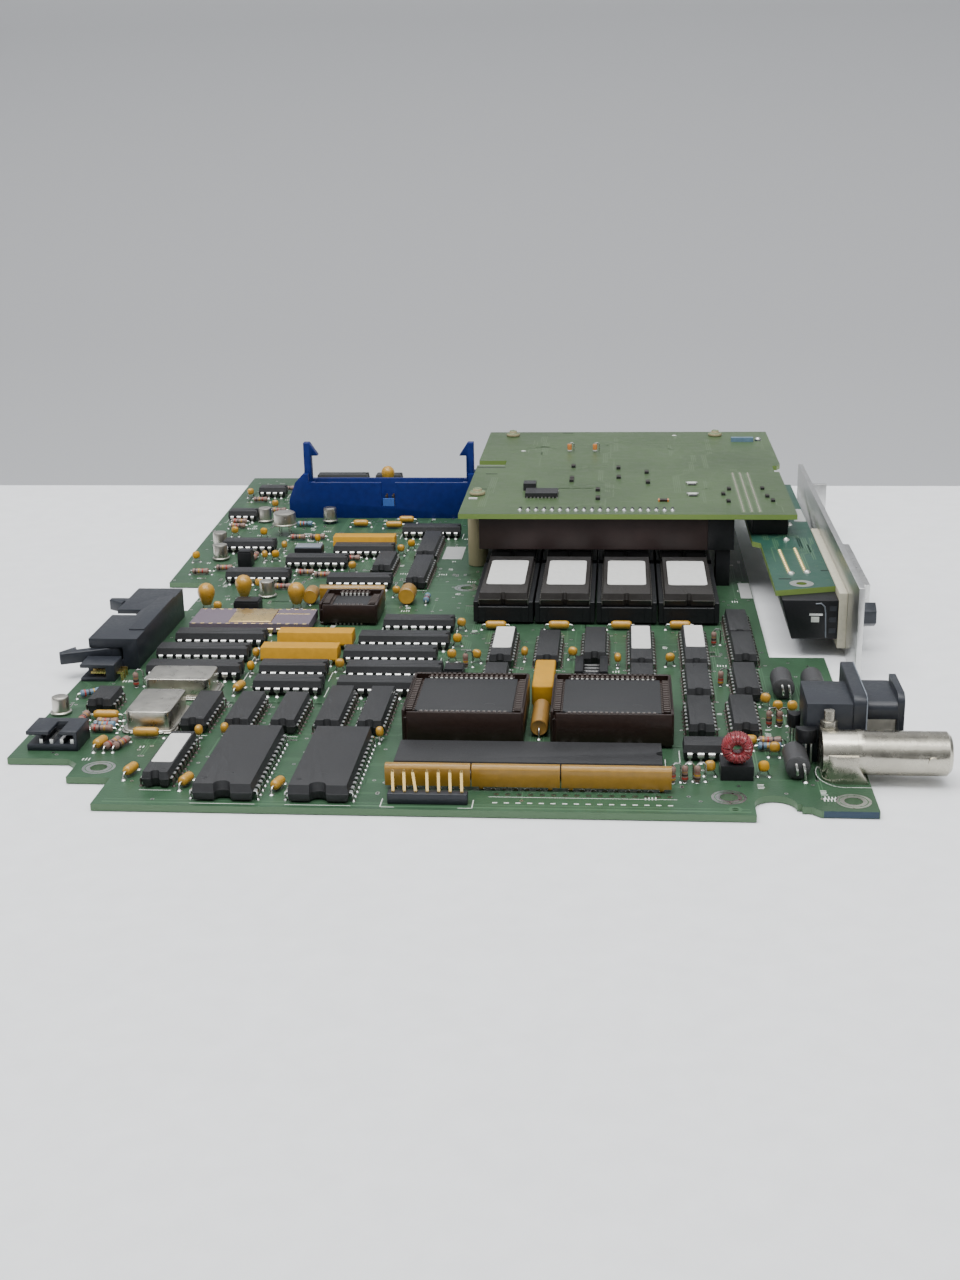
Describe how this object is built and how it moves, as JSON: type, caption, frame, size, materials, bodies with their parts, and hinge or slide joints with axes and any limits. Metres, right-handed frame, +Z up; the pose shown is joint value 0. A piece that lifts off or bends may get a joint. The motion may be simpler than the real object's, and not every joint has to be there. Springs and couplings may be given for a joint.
{
  "type": "motherboard",
  "caption": "Large instrument controller board with socketed chips, a raised mezzanine board, ejector-latch headers and a steel bracket with a panel connector",
  "frame": {"origin": "centre of the front left mounting hole, on the top face of the main board", "axes": "+X runs right along the board's front edge, +Y runs to the back along its long side, +Z points up from the component side"},
  "size_m": [0.2287, 0.337, 0.0296],
  "materials": {
    "main_laminate": "satin solder mask",
    "mezzanine_laminate": "satin solder mask, paler",
    "interface_laminate": "satin solder mask",
    "cream_nylon": "moulded nylon",
    "cream_plastic": "moulded",
    "black_plastic": "moulded",
    "slate_plastic": "moulded",
    "blue_plastic": "moulded",
    "white_plastic": "moulded",
    "white_paper": "paper label",
    "socket_brown": "moulded",
    "chip_epoxy": "moulded epoxy",
    "purple_ceramic": "fired ceramic",
    "amber_epoxy": "dipped epoxy",
    "resistor_body": "lacquer",
    "ferrite": "sintered ferrite",
    "winding": "enamelled wire",
    "gold": "gold flash",
    "tinned_lead": "tinned",
    "can_steel": "drawn can",
    "bracket_steel": "zinc plated",
    "blackened_steel": "blackened",
    "connector_shell": "tin plated",
    "nickel": "satin nickel"
  },
  "bodies": {
    "boards": {"main_board": "main_laminate", "mezzanine_board": "mezzanine_laminate", "interface_board": "interface_laminate", "mezzanine_posts": "cream_nylon", "mezzanine_connector": "black_plastic", "interface_connector": "black_plastic", "rear_bracket": "bracket_steel", "gpib_flange": "cream_plastic", "gpib_housing": "black_plastic", "gpib_shell": "connector_shell", "gpib_contact_block": "blue_plastic", "jackscrews": "blackened_steel", "bnc_body": "nickel", "bnc_insulator": "white_plastic", "bnc_contact": "gold", "jack_housing": "black_plastic", "jack_plate": "black_plastic", "jack_sleeve": "nickel", "blue_header_housing": "blue_plastic", "blue_header_pins": "gold", "black_header_housing": "slate_plastic", "black_header_pins": "gold", "side_header_body": "slate_plastic", "side_header_pins": "gold", "power_header_body": "slate_plastic", "power_header_pins": "tinned_lead", "test_header_body": "black_plastic", "test_header_pins": "gold", "processor": "chip_epoxy", "processor_leads": "tinned_lead", "plcc_sockets": "socket_brown", "plcc_chips": "chip_epoxy", "small_plcc_socket": "socket_brown", "small_plcc_chip": "chip_epoxy", "rom_sockets": "black_plastic", "rom_chips": "chip_epoxy", "rom_labels": "white_paper", "memory_chips": "chip_epoxy", "memory_leads": "tinned_lead", "ceramic_chip": "purple_ceramic", "ceramic_lid": "gold", "logic_chips_front": "chip_epoxy", "logic_chips_left": "chip_epoxy", "logic_chips_rear": "chip_epoxy", "sip_networks": "amber_epoxy", "dip_networks": "amber_epoxy", "oscillators": "can_steel", "metal_transistors": "can_steel", "tantalum_capacitors": "amber_epoxy", "box_capacitor": "amber_epoxy", "axial_capacitors": "amber_epoxy", "ceramic_capacitors": "amber_epoxy", "resistors": "resistor_body", "ferrite_beads": "ferrite", "toroid_choke": "winding", "small_modules": "black_plastic"},
    "blue_latch_left": {"blue_latch_left": "blue_plastic"},
    "blue_latch_right": {"blue_latch_right": "blue_plastic"},
    "black_latch_near": {"black_latch_near": "slate_plastic"},
    "black_latch_far": {"black_latch_far": "slate_plastic"}
  },
  "joints": [
    {"name": "blue_latch_left_hinge", "type": "hinge", "parent": "boards", "child": "blue_latch_left", "pos_m": [0.0047, 0.251, 0.0053], "axis": [0, -1, 0], "range_deg": [0, 35]},
    {"name": "blue_latch_right_hinge", "type": "hinge", "parent": "boards", "child": "blue_latch_right", "pos_m": [0.0659, 0.251, 0.0053], "axis": [0, 1, 0], "range_deg": [0, 8]},
    {"name": "black_latch_near_hinge", "type": "hinge", "parent": "boards", "child": "black_latch_near", "pos_m": [-0.0169, 0.0728, 0.0044], "axis": [0, 0, 1], "range_deg": [-24, 3]},
    {"name": "black_latch_far_hinge", "type": "hinge", "parent": "boards", "child": "black_latch_far", "pos_m": [-0.0169, 0.118, 0.0044], "axis": [0, 0, -1], "range_deg": [0, 30]}
  ]
}
